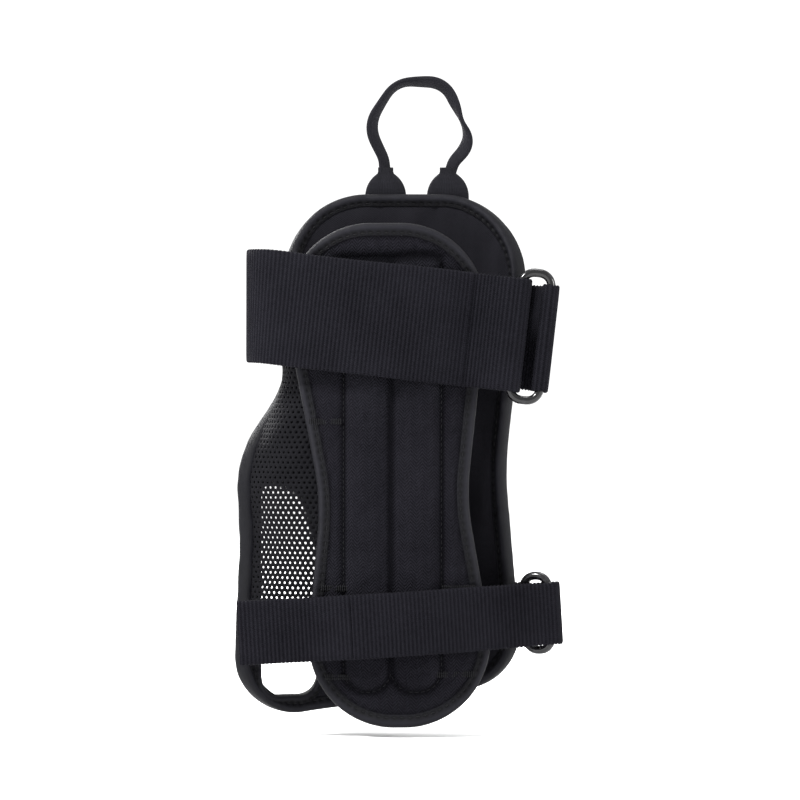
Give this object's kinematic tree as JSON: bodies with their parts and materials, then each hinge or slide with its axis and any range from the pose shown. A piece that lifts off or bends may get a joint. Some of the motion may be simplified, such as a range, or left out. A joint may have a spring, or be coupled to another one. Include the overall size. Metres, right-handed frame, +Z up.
{
  "type": "wrist guard",
  "caption": "Padded wrist guard with a palm panel, a waisted back panel, a mesh gusset, two ring-and-hook straps and a hanging loop",
  "frame": {"origin": "the middle of the wrist inside the guard, where the forearm passes through", "axes": "+Z up the forearm towards the elbow, +Y out of the palm, -Y out of the back of the hand, -X towards the thumb, for a left hand"},
  "size_m": [0.1314, 0.0542, 0.26],
  "materials": {
    "twill": "woven twill, matt",
    "foam": "closed-cell foam, hidden",
    "lining": "brushed knit lining",
    "binding": "smooth folded tape",
    "stay": "moulded splint, hidden",
    "mesh": "open knitted mesh",
    "elastic": "ribbed elastic webbing",
    "hook": "moulded hook tape",
    "label": "blank woven label",
    "wire": "black enamelled wire",
    "webbing": "tight woven tape"
  },
  "bodies": {
    "guard": {"palm_outer_cover": "twill", "palm_foam": "foam", "palm_lining": "lining", "palm_binding": "binding", "thumb_hole_binding": "binding", "forearm_pad_thumb": "twill", "forearm_pad_ulnar": "twill", "heel_pad": "twill", "palm_stay_thumb": "stay", "palm_stay_ulnar": "stay", "back_outer_cover": "twill", "back_foam": "foam", "back_lining": "lining", "back_binding": "binding", "back_stay_thumb": "stay", "back_stay_ulnar": "stay", "mesh_gusset": "mesh", "upper_strap": "elastic", "upper_ring_tab": "elastic", "lower_strap": "elastic", "lower_ring_tab": "elastic", "hanger_foot_thumb": "webbing", "hanger_foot_ulnar": "webbing"},
    "upper_ring_body": {"upper_ring": "wire"},
    "lower_ring_body": {"lower_ring": "wire"},
    "upper_tail_body": {"upper_strap_tail": "elastic", "upper_hook_patch": "hook", "label_patch": "label"},
    "lower_tail_body": {"lower_strap_tail": "elastic", "lower_hook_patch": "hook"},
    "hanger_body": {"hanger_loop": "webbing"}
  },
  "joints": [
    {"name": "upper_ring_turn", "type": "hinge", "parent": "guard", "child": "upper_ring_body", "pos_m": [0.06026, -0.0204, 0.06687], "axis": [0.1132, 0, 0.9936], "range_deg": [-4, 4]},
    {"name": "lower_ring_turn", "type": "hinge", "parent": "guard", "child": "lower_ring_body", "pos_m": [0.05261, -0.00378, -0.04229], "axis": [-0.0593, 0, 0.9982], "range_deg": [-3, 1.5]},
    {"name": "upper_tail_peel", "type": "hinge", "parent": "guard", "child": "upper_tail_body", "pos_m": [-0.028, 0.0239, 0.08], "axis": [0, 0, 1], "range_deg": [0, 100]},
    {"name": "lower_tail_peel", "type": "hinge", "parent": "guard", "child": "lower_tail_body", "pos_m": [-0.022, -0.0289, -0.0473], "axis": [0, 0, 1], "range_deg": [0, 90]},
    {"name": "hanger_fold", "type": "hinge", "parent": "guard", "child": "hanger_body", "pos_m": [0.01, 0.0189, 0.1386], "axis": [1, 0, 0], "range_deg": [-35, 35], "stiffness_Nm_per_rad": 0.01}
  ]
}
